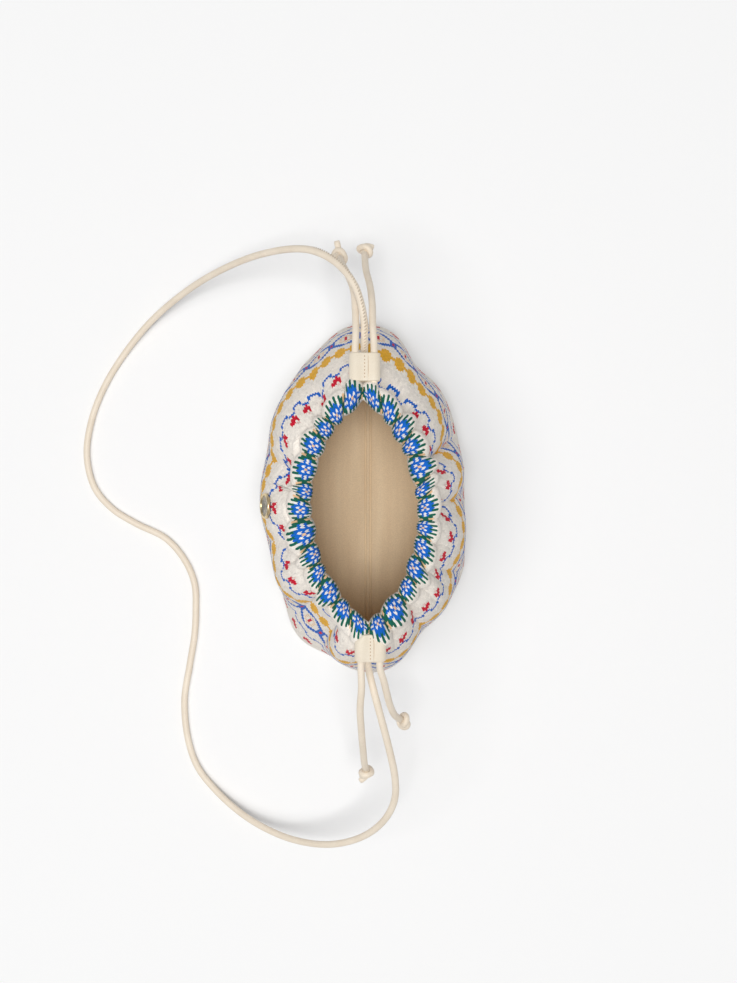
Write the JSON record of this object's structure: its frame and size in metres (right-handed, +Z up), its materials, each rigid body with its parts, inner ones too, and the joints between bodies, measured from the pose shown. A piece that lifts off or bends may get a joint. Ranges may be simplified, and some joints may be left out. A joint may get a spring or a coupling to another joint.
{
  "type": "drawstring pochette",
  "caption": "Soft knit drawstring pouch standing open, with a gathered hem, cloth lining, knotted leather drawstrings in leather sliders, a round leather shoulder strap and a metal medallion.",
  "frame": {"origin": "middle of the flat base, on the surface that the pouch stands on", "axes": "+Z up out of the mouth, +Y along the length of the mouth towards the back slider, +X across the mouth away from the medallion"},
  "size_m": [0.3016, 0.4627, 0.1993],
  "materials": {
    "knit": "heathered oatmeal wool knit with stranded colour bands",
    "lining": "tan brushed cloth, matt",
    "leather_cord": "smooth cream leather, satin",
    "leather_slider": "smooth cream leather with a stitched seam, satin",
    "metal": "pale gold rim, brushed grey dish"
  },
  "bodies": {
    "root": {"knit_pouch": "knit", "lining": "lining", "medallion": "metal", "drawstring_left": "leather_cord", "drawstring_right": "leather_cord", "slider_back": "leather_slider", "slider_front": "leather_slider", "tail_back_left": "leather_cord", "tail_back_right": "leather_cord", "tail_front_left": "leather_cord", "tail_front_right": "leather_cord", "knot_back_left": "leather_cord", "knot_back_right": "leather_cord", "knot_front_left": "leather_cord", "knot_front_right": "leather_cord", "shoulder_strap": "leather_cord"}
  },
  "joints": []
}
